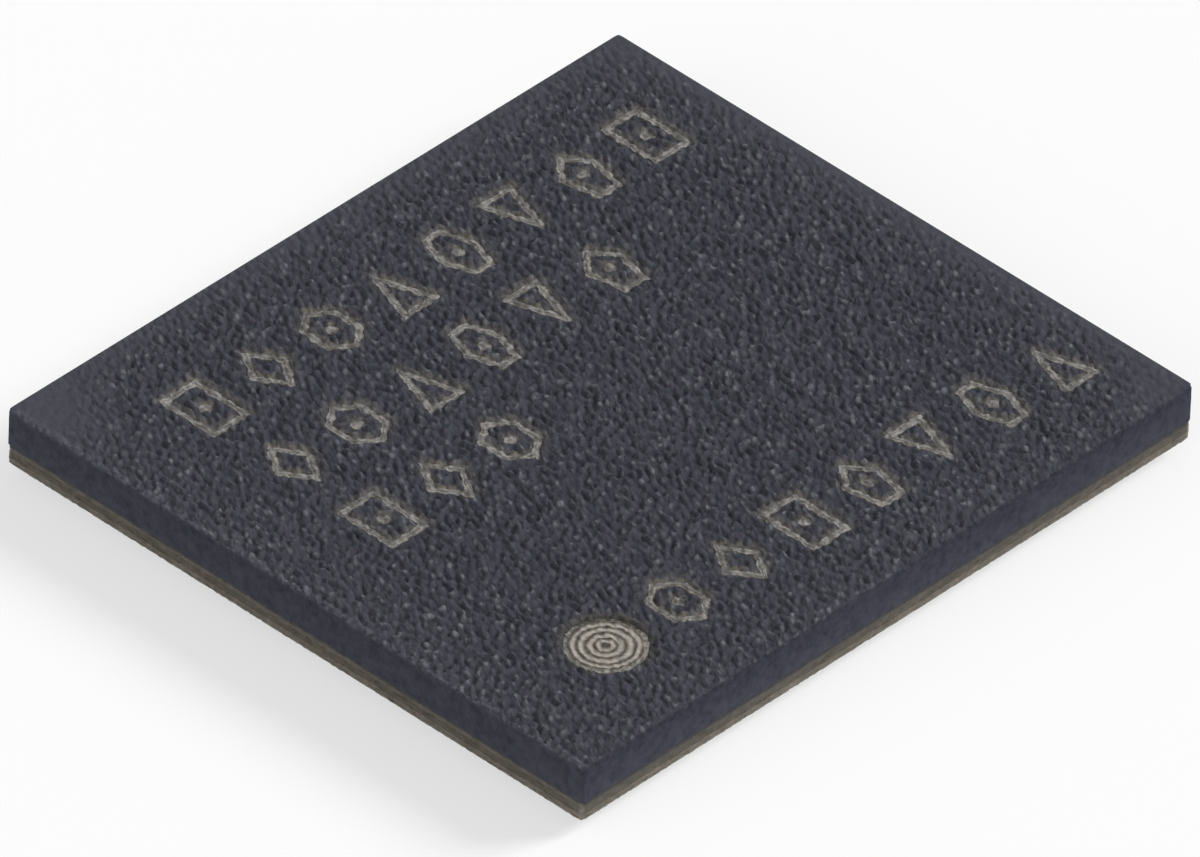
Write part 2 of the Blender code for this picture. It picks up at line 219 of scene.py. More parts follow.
# Substrate
RIM_STEP = 0.03e-3
SLABS = (
    ("lower_laminate_sheet", "laminate_lower", 61),
    ("core_laminate_sheet", "laminate_core", 62),
    ("upper_laminate_sheet", "laminate_upper", 63),
    ("top_mask_film", "solder_mask_top", 64),
    ("bottom_mask_film", "solder_mask_bottom", 65),
)
SLAB_ROWS = 4
SLAB_WAVE = 0.07e-3
SLAB_ROUGHNESS = 0.0022e-3
SLAB_INSET = 0.004e-3
SLAB_CORNER_ROUND = 0.065e-3
SLAB_CORNER_TUCK = 0.18
SMEAR_REACH = 0.044e-3
COPPER_SETBACK = 0.15e-3
COPPER_BEVEL = 0.0015e-3
RECESS_DEPTH = 0.012e-3
VIA_RADIUS = 0.07e-3
VIA_PITCH = 0.9e-3
VIA_COLUMNS = 4
VIA_ROWS = 3
CUTTER_SIDES = 24
OVERCUT = 0.05e-3

# Solder balls
BALL_PITCH = 0.65e-3
BALL_COLUMNS = 11
BALL_ROWS = 10
BALL_LAND_RADIUS = 0.115e-3
BALL_FLAT_RADIUS = 0.07e-3
BALL_SIDES = 28
BALL_RINGS = 11
MASK_OPENING_RADIUS = 0.135e-3

# Colours, as linear red, green and blue
WHITE = (1.0, 1.0, 1.0, 1.0)
# Grain colours set by the relief: painted shade in the hollows, painted light on the peaks
GRAIN_HOLLOW_PAINTED_SHADE = (0.0394, 0.0392, 0.0492)
GRAIN_PEAK_PAINTED_LIGHT = (0.0668, 0.0664, 0.081)
# Calm skin: its own smoother tone, made paler in part as painted light
CALM_SKIN_AND_PAINTED_LIGHT = (0.069, 0.0685, 0.0835)
# Painted light: the top's colour towards the body's sides
BORDER_PAINTED_LIGHT = (0.086, 0.086, 0.1)
# Wall colours: lighter low down as painted light from the floor; the front shade is painted shade on the
# front face near the top
HIGH_WALL = ((0.0235, 0.0235, 0.0355), (0.0475, 0.0475, 0.0625))
FRONT_SHADE = (0.014, 0.013, 0.025)
LOW_WALL_PAINTED_LIGHT = ((0.0395, 0.0395, 0.055), (0.0675, 0.0675, 0.0845))
BLUE_TINT = (0.040, 0.055, 0.067)
VIOLET_TINT = (0.064, 0.056, 0.080)
# Pale specks: partly silica filler, partly painted glints
FILLER_AND_GLINT = (0.165, 0.17, 0.185)
MARK_BLUSH = (0.33, 0.26, 0.22)
MARK_GAP = (0.075, 0.072, 0.066)
SOOT = (0.044, 0.039, 0.028)
STROKES = ((0.292, 0.284, 0.275), (0.188, 0.179, 0.162), (0.07, 0.067, 0.056))
RINGS = ((0.40, 0.366, 0.325), (0.058, 0.048, 0.038), (0.12, 0.12, 0.11))
UPPER_LAMINATE = ((0.133, 0.122, 0.108), (0.076, 0.069, 0.058), (0.17, 0.125, 0.11))
CORE_LAMINATE = ((0.115, 0.104, 0.088), (0.062, 0.055, 0.044), (0.15, 0.105, 0.085))
# Lower laminate: its own tone, made paler in part as painted light bounced from the floor
LOWER_LAMINATE_AND_BOUNCE_LIGHT = ((0.18, 0.162, 0.138), (0.108, 0.097, 0.078), (0.24, 0.18, 0.15))
MOSS = (0.085, 0.088, 0.062)
# Pale corners of the substrate: partly burr, partly painted highlight
BURR_AND_HIGHLIGHT = (0.26, 0.245, 0.215)
DRAGGED_MOULD = (0.042, 0.041, 0.042)
MASK = ((0.060, 0.066, 0.036), (0.090, 0.092, 0.058))
TOP_MASK_EDGE = ((0.040, 0.040, 0.043), (0.062, 0.059, 0.054))
# Bottom mask edge: dust of the laminate, with painted light from the floor
BOTTOM_MASK_EDGE_AND_BOUNCE_LIGHT = ((0.2, 0.185, 0.16), (0.13, 0.12, 0.1))
DRAGGED_FILM = (0.021, 0.0205, 0.024)
COPPER = ((0.72, 0.38, 0.24), (0.5, 0.25, 0.16))
SOLDER = ((0.74, 0.74, 0.75), (0.55, 0.55, 0.56))
SILICON = ((0.26, 0.27, 0.3), (0.18, 0.19, 0.2))
UNDERFILL = ((0.035, 0.033, 0.032), (0.022, 0.02, 0.02))

# Patches: wavelength, noise levels that they set in between, and shares if not 0 and 1
MOTTLE = (0.085e-3, 0.32, 0.68)
BLUE_PATCHES = (0.055e-3, 0.4, 0.65, 0.0, 0.35)
VIOLET_PATCHES = (0.07e-3, 0.45, 0.65, 0.0, 0.35)
UNEVEN_PASSES = (0.06e-3, 0.3, 0.7)
BLUSH_PATCHES = (0.2e-3, 0.52, 0.72, 0.0, 0.3)
FADED_PATCHES = (0.085e-3, 0.6, 0.42, 0.0)
RIM_PATCHES = (0.05e-3, 0.35, 0.6, 0.2, 1.0)
STREAKS = (0.11e-3, 0.3, 0.7)
STREAKS_DRAWN = (1.0, 1.0, 0.4)
MOSS_PATCHES = (0.075e-3, 0.5, 0.68, 0.0, 0.45)
MOSS_DRAWN = (1.0, 1.0, 0.6)
FLECKS = (0.06e-3, 0.56, 0.7, 0.0, 0.5)
BURR_AND_HIGHLIGHT_PATCHES = (0.05e-3, 0.3, 0.6, 0.4, 1.0)
FILM_CLOUDS = (0.25e-3, 0.3, 0.7)
EDGE_DUST = (0.16e-3, 0.42, 0.62)
TARNISH = (0.35, 0.7)
SOME_DETAIL = {"detail": 3.0, "roughness": 0.6}
MORE_DETAIL = {"detail": 4.0, "roughness": 0.6}

# What lies on the mould, and painted light at its left edge: attribute, patches and colour. The first is
# partly wear and partly painted light from the left.
STAINS_AND_EDGE_LIGHT = (
    ("wear_and_edge_light", (0.05e-3, 0.35, 0.6), (0.14, 0.142, 0.17)),
    ("scorch", (0.05e-3, 0.3, 0.6, 0.3, 1.0), (0.052, 0.048, 0.035)),
    ("brown", (0.055e-3, 0.35, 0.6, 0.25, 1.0), (0.15, 0.138, 0.114)),
)

# Ranges that a value is read between, and the shares at their ends if not 0 and 1
NOISE_RANGE = (0.3, 0.7)
RELIEF_RANGE = (-0.6, 1.0)
BORDER_PAINTED_LIGHT_RANGE = (-0.9e-3, -0.15e-3, 0.0, 0.2)
CORNER_RANGE = (-0.05e-3, -0.015e-3)
FRONT_RANGE = (-0.5, -0.9)
LEVEL_RANGE = (0.3, 0.6, 1.0, 0.0)
SPECK_SHAPE = (0.66, 0.95)
SPECK_CHANCE = (0.55, 0.85)
SPECK_SKIN = (0.25, 1.0, 0.0, 0.8)
SPECK_RELIEF = (-0.5, 0.6, 0.2, 1.0)
PASS_RANGE = (0.08, 0.9)
SOOT_RANGE = (0.2, 1.0, 0.5, 0.95)
FRONT_SHADE_SHARE = 0.27
SMEAR_SHARE = 0.95

# Lowest and highest roughness of each surface, its sheen, and the waves and heights of its bumps
MOULD_ROUGHNESS = (0.62, 0.82)
MARK_ROUGHNESS = (0.6, 0.85)
LAMINATE_ROUGHNESS = (0.5, 0.8)
FILM_ROUGHNESS = (0.32, 0.5)
MOULD_SHEEN = {"Specular IOR Level": 0.03}
MARK_SHEEN = {"Specular IOR Level": 0.15}
LAMINATE_SHEEN = {"Specular IOR Level": 0.15}
FILM_SHEEN = {"Specular IOR Level": 0.25}
BURNT_WAVE = 0.02e-3
SAW_MARKS = (0.03e-3, 4.0, 0.65, (1.0, 1.0, 0.33))
SAW_HEIGHT = 0.003e-3
FILM_RIPPLE = 0.09e-3
FILM_HEIGHT = 0.001e-3
METAL_HEIGHT = 0.0008e-3
GROUND_HEIGHT = 0.001e-3

# Smallest lengths that count
TOUCH = 1e-6
TINY = 1e-9

MOULD_LOW, MOULD_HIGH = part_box("mould_cap")
HALF_LENGTH = MOULD_HIGH.x
HALF_WIDTH = MOULD_HIGH.y
SKIN = MOULD_HIGH.z - SKIN_DROP


class Field:
    """Seeded noise of about one wavelength over the whole part, with mean 0 and deviation 1."""

    def __init__(self, wave, spread, seed):
        white = np.random.default_rng(seed).standard_normal((FIELD_CELLS, FIELD_CELLS))
        along = np.fft.fftfreq(FIELD_CELLS, FIELD_SPACING)
        frequency = np.hypot(along[:, None], along[None, :])
        gain = np.exp(-0.5 * ((frequency * wave - 1.0) / spread) ** 2)
        values = np.fft.ifft2(np.fft.fft2(white) * gain).real
        self.values = (values - values.mean()) / values.std()

    def at(self, x, y):
        u = np.asarray(x, float) / FIELD_SPACING
        v = np.asarray(y, float) / FIELD_SPACING
        column = np.floor(u).astype(int)
        row = np.floor(v).astype(int)
        total = 0.0
        for right, across in ((0, 1.0 - u + column), (1, u - column)):
            for up, along in ((0, 1.0 - v + row), (1, v - row)):
                here = self.values[(column + right) % FIELD_CELLS, (row + up) % FIELD_CELLS]
                total = total + across * along * here
        return total


def uneven(values, level, swing, low, high):
    return level + swing * np.clip(values, low, high)


def smooth_step(low, high, value):
    share = np.clip((value - low) / (high - low), 0.0, 1.0)
    return share * share * (3.0 - 2.0 * share)


# Meshes


def add_object(name, data):
    made = bpy.data.objects.new(name, data)
    bpy.context.scene.collection.objects.link(made)
    return made


def add_piece(name, points, faces, attributes=None, sharp=60.0):
    """A mesh that rides on the chip, smooth but for edges sharper than the angle."""
    mesh = bpy.data.meshes.new(name)
    mesh.from_pydata(np.asarray(points).tolist(), [], faces)
    shape = bmesh.new()
    shape.from_mesh(mesh)
    bmesh.ops.recalc_face_normals(shape, faces=shape.faces)
    shape.to_mesh(mesh)
    shape.free()
    for key, values in (attributes or {}).items():
        layer = mesh.attributes.new(key, "FLOAT", "POINT")
        layer.data.foreach_set("value", np.asarray(values, np.float32))
    mesh.shade_smooth()
    mesh.set_sharp_from_angle(angle=math.radians(sharp))
    piece = add_object(name, mesh)
    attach(piece, "root")
    return piece


def dress(piece, material):
    piece.data.materials.clear()
    piece.data.materials.append(material)


def carve(piece, tools):
    """Takes the tools' shapes out of the piece, and removes the tools."""
    for tool in tools:
        step = piece.modifiers.new(tool.name, "BOOLEAN")
        step.operation = "DIFFERENCE"
        step.solver = "EXACT"
        step.object = tool
    bpy.context.view_layer.update()
    seen = piece.evaluated_get(bpy.context.evaluated_depsgraph_get())
    carved = bpy.data.meshes.new_from_object(seen)
    piece.modifiers.clear()
    piece.data = carved
    for tool in tools:
        bpy.data.objects.remove(tool)


def prism_faces(loops):
    """Faces between loops of vertex numbers, each closed, from the first loop to the last."""
    faces = []
    for lower, upper in zip(loops, loops[1:]):
        for here, after in zip(range(len(lower)), [*range(1, len(lower)), 0]):
            faces.append((lower[here], lower[after], upper[after], upper[here]))
    return faces


def solid_faces(loops):
    """Faces of a closed solid: its walls between the loops, and both of its ends."""
    return prism_faces(loops) + [loops[0][::-1], loops[-1]]


def add_tool(name, outlines, low, high):
    """Prisms over the outlines, for a Boolean."""
    points = []
    faces = []
    for outline in outlines:
        start = len(points)
        count = len(outline)
        points += [(x, y, low) for x, y in outline] + [(x, y, high) for x, y in outline]
        faces += solid_faces([list(range(first, first + count)) for first in (start, start + count)])
    mesh = bpy.data.meshes.new(name)
    mesh.from_pydata(points, [], faces)
    return add_object(name, mesh)


# Outlines


def polygon(radius, sides, centre=(0.0, 0.0), turn=0.0):
    angles = turn + 2 * math.pi * np.arange(sides) / sides
    return np.array(centre) + radius * np.stack([np.cos(angles), np.sin(angles)], axis=1)


def rectangle(half_length, half_width):
    signs = np.array([(-1, -1), (1, -1), (1, 1), (-1, 1)])
    return signs * (half_length, half_width)


def fit_outline(outline, width, height, centre):
    low = outline.min(axis=0)
    high = outline.max(axis=0)
    return np.array(centre) + ((outline - low) / (high - low) - 0.5) * (width, height)


def inset_outline(outline, distance):
    """A convex outline, listed anticlockwise, with every side moved in by the distance."""
    before = outline - np.roll(outline, 1, axis=0)
    after = np.roll(outline, -1, axis=0) - outline
    before = before / np.linalg.norm(before, axis=1, keepdims=True)
    after = after / np.linalg.norm(after, axis=1, keepdims=True)
    inward = np.stack([-before[:, 1] - after[:, 1], before[:, 0] + after[:, 0]], axis=1)
    reach = distance / (1.0 + (before * after).sum(axis=1))
    return outline + inward * reach[:, None]


def grid(columns, rows, pitch):
    for column in range(columns):
        for row in range(rows):
            yield (column - (columns - 1) / 2) * pitch, (row - (rows - 1) / 2) * pitch


def rim_steps(points, half_length, half_width, corner_round, corner_tuck):
    """The way inwards from points on a rectangle's rim, and how far its round corners take each one in."""
    across = half_length - abs(points[:, 0])
    along = half_width - abs(points[:, 1])
    inward = -np.sign(points[:, :2]) * np.stack([across < TOUCH, along < TOUCH], axis=1)
    return inward, corner_tuck * (corner_round - np.minimum(across + along, corner_round))


def mark_places():
    pitch = (2 * HALF_LENGTH - MARK_LEFT_MARGIN - MARK_RIGHT_MARGIN) / (BACK_ROW_PLACES[0] - 1)
    left = -HALF_LENGTH + MARK_LEFT_MARGIN
    back = HALF_WIDTH - MARK_BACK_MARGIN
    for row, places in enumerate(BACK_ROW_PLACES):
        for place in range(places):
            yield left + place * pitch, back - row * MARK_ROW_PITCH
    right = HALF_LENGTH - FRONT_ROW_RIGHT_MARGIN
    front = -HALF_WIDTH + FRONT_ROW_MARGIN
    for place in range(FRONT_ROW_PLACES):
        yield right - place * pitch, front


def mark_outlines():
    """The outer outline of each mark, with its middle where it holds a dot."""
    for index, place in enumerate(mark_places()):
        sides, turn, dot_sides = FIGURES[index % len(FIGURES)]
        plain = polygon(1.0, sides, turn=math.radians(turn))
        outline = fit_outline(plain, MARK_WIDTH, MARK_HEIGHT, place)
        yield outline, place if dot_sides else None


def first_mark_centre():
    return -HALF_LENGTH + ROUND_LEFT_MARGIN, -HALF_WIDTH + ROUND_FRONT_MARGIN


# Mould


def nearest_mark(x, y):
    """How far each point lies outside the burnt strokes, and the direction from the nearest one to it."""
    points = np.stack([x, y], axis=-1)
    outside = np.full(x.shape, 2 * HALF_LENGTH)
    away = np.zeros(points.shape)

    def take(step, reach):
        span = np.linalg.norm(step, axis=-1)
        nearer = span - reach < outside
        outside[nearer] = (span - reach)[nearer]
        away[nearer] = (step / np.maximum(span, TINY)[..., None])[nearer]

    for outline, dot in mark_outlines():
        line = inset_outline(outline, MARK_STROKE / 2)
        for start, end in zip(line, np.roll(line, -1, axis=0)):
            run = end - start
            share = np.clip(((points - start) @ run) / (run @ run), 0.0, 1.0)
            take(points - start - share[..., None] * run, MARK_STROKE / 2)
        if dot:
            take(points - dot, MARK_DOT_RADIUS)
    take(points - first_mark_centre(), ROUND_RADIUS)
    return outside, away


def grain_strength(x, y):
    """1 on most of the top, and less beside the two far edges and round three corners."""
    back = 1.0 - smooth_step(0.0, CALM_EDGE, HALF_WIDTH - y)
    right = 1.0 - smooth_step(0.0, CALM_EDGE, HALF_LENGTH - x)
    band = 1.0 - smooth_step(CALM_BAND_CORE * CALM_BAND, CALM_BAND, HALF_LENGTH - x)
    calm = np.maximum(CALM_EDGE_SHARE * np.maximum(back, right), CALM_BAND_SHARE * band)
    for corner_x, corner_y, size, share in CALM_CORNERS:
        reach = np.hypot(x - corner_x * HALF_LENGTH, y - corner_y * HALF_WIDTH)
        calm = np.maximum(calm, share * (1.0 - smooth_step(CALM_CORNER_CORE * size, size, reach)))
    return 1.0 - calm


def front_edge(y):
    """1 at the front edge of the top, and 0 away from it."""
    return 1.0 - smooth_step(0.0, SOFT_EDGE, y + HALF_WIDTH)


def grain(x, y):
    """Relief of the top, from -1 to 1."""
    along = x * GRAIN_LEAN[0] + y * GRAIN_LEAN[1]
    across = y * GRAIN_LEAN[0] - x * GRAIN_LEAN[1]
    fine = Field(GRAIN_WAVE, GRAIN_SPREAD, GRAIN_SEED).at(along / GRAIN_STRETCH, across)
    peaked = fine + GRAIN_PEAK * (fine * fine - 1.0)
    swell = Field(SWELL_WAVE, FIELD_SPREAD, SWELL_SEED).at(x, y)
    height = np.tanh(GRAIN_SHARPNESS * (peaked + SWELL_SHARE * swell))
    straight = smooth_step(0.0, STRAIGHT_EDGE, np.minimum(HALF_LENGTH - x, HALF_WIDTH - y))
    soft = 1.0 - SOFT_EDGE_SHARE * front_edge(y)
    return height * grain_strength(x, y) * straight * soft


def rim_loop(columns, rows):
    """Numbers of the border vertices of a grid, anticlockwise from the -X, -Y corner."""
    number = np.arange((columns + 1) * (rows + 1)).reshape(columns + 1, rows + 1)
    sides = (number[:-1, 0], number[-1, :-1], number[:0:-1, -1], number[0, :0:-1])
    return np.concatenate(sides), [len(side) for side in sides]


def scorched(x, y, outside, away):
    """Shares of the brown beside the strokes and of the dark scorch round the rings."""
    leeward = 0.5 + 0.5 * (away @ SCORCH_SIDE)
    brown = np.exp(-((np.maximum(outside, 0.0) / BROWN_REACH) ** 2)) * leeward**2
    step = np.stack([x, y], axis=-1) - first_mark_centre()
    reach = np.linalg.norm(step, axis=-1)
    side = 0.5 + 0.5 * (step @ SCORCH_SIDE) / np.maximum(reach, TINY)
    fading = np.exp(-((np.maximum(reach - ROUND_RADIUS, 0.0) / SCORCH_REACH) ** 2))
    dark = fading * (SCORCH_WEAKEST + (1.0 - SCORCH_WEAKEST) * side)
    return brown * (1.0 - dark), dark


def die_pocket():
    """Outlines and heights of the hollow over the die and its underfill, from the mould's underside up."""
    _, die_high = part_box("silicon_die")
    _, fill_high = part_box("underfill")
    ledge = die_high.z - FILLET_DROP + FIT_GAP
    opening = rectangle(fill_high.x + 2 * FIT_GAP, fill_high.y + 2 * FIT_GAP)
    shoulder = rectangle(die_high.x + FILLET_RIM + FIT_GAP, die_high.y + FILLET_RIM + FIT_GAP)
    room = rectangle(die_high.x + FIT_GAP, die_high.y + FIT_GAP)
    return (opening, MOULD_LOW.z), (shoulder, ledge), (room, ledge), (room, die_high.z + FIT_GAP)


def underside_faces(bottom, side_counts, corners):
    """A face along each side, from the lower rim to the opening of the pocket."""
    faces = []
    first = 0
    for side, count in enumerate(side_counts):
        run = [bottom[(first + step) % len(bottom)] for step in range(count + 1)]
        faces.append([*run, corners[(side + 1) % 4], corners[side]])
        first += count
    return faces


def build_mould():
    """The cap: points of its top, of rows down its walls and of its pocket, with its looks in attributes."""
    xs = np.linspace(-HALF_LENGTH, HALF_LENGTH, GRAIN_COLUMNS + 1)
    ys = np.linspace(-HALF_WIDTH, HALF_WIDTH, GRAIN_ROWS + 1)
    x, y = [values.ravel() for values in np.meshgrid(xs, ys, indexing="ij")]
    outside, away = nearest_mark(x, y)
    relief = grain(x, y)
    bed = 1.0 - smooth_step(-BED_INNER_FADE, BED_FADE, outside)
    z = SKIN + (1.0 - bed + MARK_RELIEF * bed) * GRAIN_DEPTH * relief - bed * BED_DEPTH
    loop, side_counts = rim_loop(GRAIN_COLUMNS, GRAIN_ROWS)
    left = x[loop] < -HALF_LENGTH + TOUCH
    front = y[loop] < -HALF_WIDTH + TOUCH
    edge = Field(EDGE_WAVE, FIELD_SPREAD, EDGE_SEED).at(x[loop], y[loop]) * (left | front)
    share = np.where(left | front, 1.0, BACK_EDGE_SHARE)
    z[loop] -= EDGE_ROUND * share * uneven(edge, *RIM_DROP_NOISE)
    # Wear on the rims and near the left edge, partly painted light from the left
    patchy = np.clip(RIM_WEAR_AND_LIGHT_LEVEL + RIM_WEAR_AND_LIGHT_SWING * edge, 0.0, 1.0)
    rim_wear_and_edge_light = (FRONT_WEAR_AND_EDGE_LIGHT * front + LEFT_WEAR_AND_EDGE_LIGHT * left) * patchy
    wear_and_edge_light = WEAR_AND_EDGE_LIGHT_SHARE * (1.0 - smooth_step(0.0, WEAR_AND_EDGE_LIGHT_REACH, x + HALF_LENGTH))
    wear_and_edge_light[loop] = rim_wear_and_edge_light
    brown, scorch = scorched(x, y, outside, away)
    looks = {
        "skin": [grain_strength(x, y)],
        "relief": [relief],
        "scorch": [scorch],
        "brown": [brown],
        "wear_and_edge_light": [wear_and_edge_light],
        "flank": [FRONT_FLANK * front_edge(y)],
        "depth": [np.zeros(len(x))],
    }
    top = np.stack([x, y, z], axis=1)
    rim = top[loop]
    inward, tuck = rim_steps(rim, HALF_LENGTH, HALF_WIDTH, CORNER_ROUND, CORNER_TUCK)
    lip = EDGE_LIP * share * uneven(edge, *RIM_LIP_NOISE)
    top[loop, :2] += inward * (lip + tuck)[:, None]
    points = [top]
    travel = np.arange(len(loop)) * (2 * HALF_LENGTH / GRAIN_COLUMNS)
    wall = Field(WALL_WAVE, ROUGH_SPREAD, WALL_SEED)
    heights = [SKIN - WALL_TOP_DROP, *np.linspace(SKIN - WALL_NEXT_DROP, MOULD_LOW.z, WALL_ROWS - 1)]
    for row, height in enumerate(heights):
        rough = WALL_ROUGHNESS * uneven(wall.at(travel, height), *WALL_NOISE)
        ring = rim.copy()
        ring[:, :2] += inward * (rough + tuck)[:, None]
        ring[:, 2] = height
        points.append(ring)
        first = 1.0 if row == 0 else 0.0
        row_looks = {
            "skin": FIRST_ROW_SKIN * first,
            "wear_and_edge_light": FIRST_ROW_WEAR_AND_LIGHT * first * rim_wear_and_edge_light,
            "flank": 1.0 - (1.0 - FIRST_ROW_FLANK) * first,
            "depth": row / (len(heights) - 1),
        }
        for key, values in looks.items():
            values.append(np.broadcast_to(row_looks.get(key, 0.0), len(loop)))
    count = len(x)
    number = np.arange(count).reshape(GRAIN_COLUMNS + 1, GRAIN_ROWS + 1)
    quads = np.stack([number[:-1, :-1], number[1:, :-1], number[1:, 1:], number[:-1, 1:]], axis=-1)
    rings = [loop, *[count + row * len(loop) + np.arange(len(loop)) for row in range(len(heights))]]
    start = count + len(heights) * len(loop)
    pocket = die_pocket()
    points += [np.column_stack([outline, np.full(4, height)]) for outline, height in pocket]
    corners = [list(range(start + 4 * row, start + 4 * row + 4)) for row in range(len(pocket))]
    faces = quads.reshape(-1, 4).tolist() + prism_faces([ring.tolist() for ring in rings])
    faces += underside_faces(rings[-1].tolist(), side_counts, corners[0])
    faces += prism_faces(corners) + [corners[-1]]
    extra = np.zeros(4 * len(pocket))
    attributes = {key: np.concatenate([*values, extra]) for key, values in looks.items()}
    return add_piece("mould_body", np.concatenate(points), faces, attributes)


# Marks


def track(u):
    """1 on the two passes of the laser along a stroke, one on each side of its middle."""
    return np.exp(-(((abs(u) - TRACK_PLACE) / TRACK_SPREAD) ** 2))


def crust(u, lean):
    """Olive crust at the rims of a stroke, less where the rim looks the way that the smoke was blown."""
    return smooth_step(*CRUST_REACH, abs(u)) * (1.0 - RIM_LOSS * smooth_step(0.0, CRUST_LEAN, lean))


def burnt_height(passes, rim):
    """Height of a mark: its passes are burnt in, and its rim goes down under the skin."""
    return SKIN - TRACK_RIM - TRACK_DEPTH * passes - TRACK_BURIED * rim


def wobble(x, y):
    """A small sideways shift, so that burnt lines aren't ruled."""
    shift = []
    for seed in WOBBLE_SEEDS:
        coarse = Field(WOBBLE_WAVE, FIELD_SPREAD, seed).at(x, y)
        fine = Field(WOBBLE_FINE_WAVE, FIELD_SPREAD, seed + WOBBLE_FINE_SEED).at(x, y)
        shift.append(TRACK_WOBBLE * (WOBBLE_SHARE * coarse + WOBBLE_FINE_SHARE * fine))
    return shift


def disc_faces(middle, loops):
    """Faces of a closed disc: a fan round its middle, rings, and its underside."""
    fan = [(middle, here, after) for here, after in zip(loops[0], loops[0][1:] + loops[0][:1])]
    return fan + prism_faces(loops) + [loops[-1]]


def stroke_mesh(outline, points, faces, tracks, rims):
    """A closed band along the stroke round one figure."""
    across = np.linspace(-TRACK_REACH, TRACK_REACH, TRACK_ACROSS)
    corners = np.array([inset_outline(outline, MARK_STROKE / 2 * (1.0 + u)) for u in across])
    sections = []
    leans = []
    for side, run in enumerate(np.roll(outline, -1, axis=0) - outline):
        here = corners[:, side]
        after = corners[:, (side + 1) % len(outline)]
        length = np.linalg.norm(run)
        steps = math.ceil(length / TRACK_STEP)
        leans += [(run[0] * SCORCH_SIDE[1] - run[1] * SCORCH_SIDE[0]) / length] * steps
        sections += [here + (after - here) * step / steps for step in range(steps)]
    start = len(points)
    count = len(sections)
    u = np.tile(across, count)
    passes = track(u)
    height = burnt_height(passes, smooth_step(1.0, TRACK_REACH, abs(u)))
    points.extend(np.column_stack([np.reshape(sections, (-1, 2)), height]))
    tracks.extend(passes)
    rims.extend(crust(u, np.sign(u) * np.repeat(leans, TRACK_ACROSS)))
    number = start + np.arange(count * TRACK_ACROSS).reshape(count, TRACK_ACROSS)
    after = np.roll(number, -1, axis=0)
    for step in range(TRACK_ACROSS):
        other = (step + 1) % TRACK_ACROSS
        quads = np.stack([number[:, step], after[:, step], after[:, other], number[:, other]], axis=1)
        faces.extend(quads.tolist())


def dot_mesh(centre, points, faces, tracks, rims):
    """A closed round pad: one pass of the laser round a dot."""
    start = len(points)
    points.append(np.array([*centre, burnt_height(0.0, 0.0)]))
    tracks.append(DOT_CORE_TRACK)
    rims.append(0.0)
    loops = []
    for ring in range(1, DOT_RINGS + 1):
        u = ring / DOT_RINGS * TRACK_REACH
        passes = float(track(u))
        height = burnt_height(passes, float(smooth_step(1.0, TRACK_REACH, u)))
        first = len(points)
        for place in polygon(MARK_DOT_RADIUS * u, DOT_SIDES, centre):
            lean = (place - centre) @ SCORCH_SIDE / (MARK_DOT_RADIUS * u)
            points.append(np.array([*place, height]))
            tracks.append(passes)
            rims.append(float(crust(u, lean)))
        loops.append(list(range(first, first + DOT_SIDES)))
    faces.extend(disc_faces(start, loops))


def roughen_marks(points, share):
    points = np.array(points)
    x, y = points[:, :2].T.copy()
    shift_x, shift_y = wobble(x, y)
    points[:, 0] += share * shift_x
    points[:, 1] += share * shift_y
    points[:, 2] += MARK_RELIEF * GRAIN_DEPTH * grain(x, y)
    return points


def build_marks():
    points, faces, tracks, rims = [], [], [], []
    for outline, dot in mark_outlines():
        stroke_mesh(outline, points, faces, tracks, rims)
        if dot:
            dot_mesh(dot, points, faces, tracks, rims)
    return add_piece("laser_marks", roughen_marks(points, 1.0), faces, {"track": tracks, "rim": rims})


def ring_pass(radius):
    """1 on the laser's round passes, little between them, and 0 in the core."""
    phase = np.interp(radius / RING_UNIT, RING_TURNS, math.pi * np.arange(len(RING_TURNS)))
    return (RING_LEVEL - RING_SWING * np.cos(phase)) * smooth_step(*RING_CORE, radius)


def build_first_mark():
    centre = np.array(first_mark_centre())
    reach = ROUND_RADIUS + ROUND_SKIRT
    spread = reach * np.arange(1, ROUND_RINGS + 1) / ROUND_RINGS
    radii = np.concatenate([[0.0], np.repeat(spread, ROUND_SIDES)])
    places = np.concatenate([[centre], *[polygon(radius, ROUND_SIDES, centre) for radius in spread]])
    passes = ring_pass(radii)
    height = burnt_height(passes, smooth_step(ROUND_RADIUS - ROUND_EASE, reach, radii))
    starts = range(1, len(radii), ROUND_SIDES)
    loops = [list(range(start, start + ROUND_SIDES)) for start in starts]
    outer = smooth_step(*RING_EDGE, radii)
    side = (places - centre) @ SCORCH_SIDE / np.maximum(radii, TINY)
    attributes = {"track": passes, "rim": outer, "soot": outer * smooth_step(*SOOT_SIDE, side)}
    points = roughen_marks(np.column_stack([places, height]), RING_WOBBLE[0] + RING_WOBBLE[1] * outer)
    return add_piece("first_contact_mark", points, disc_faces(0, loops), attributes)


# Substrate


def rim_outline(half_length, half_width):
    """Points round a rectangle, and how far along its sides each one is."""
    corners = rectangle(half_length, half_width)
    points = []
    for start, end in zip(corners, np.roll(corners, -1, axis=0)):
        steps = round(np.linalg.norm(end - start) / RIM_STEP)
        points += [start + (end - start) * step / steps for step in range(steps)]
    return np.array(points), np.arange(len(points)) * RIM_STEP


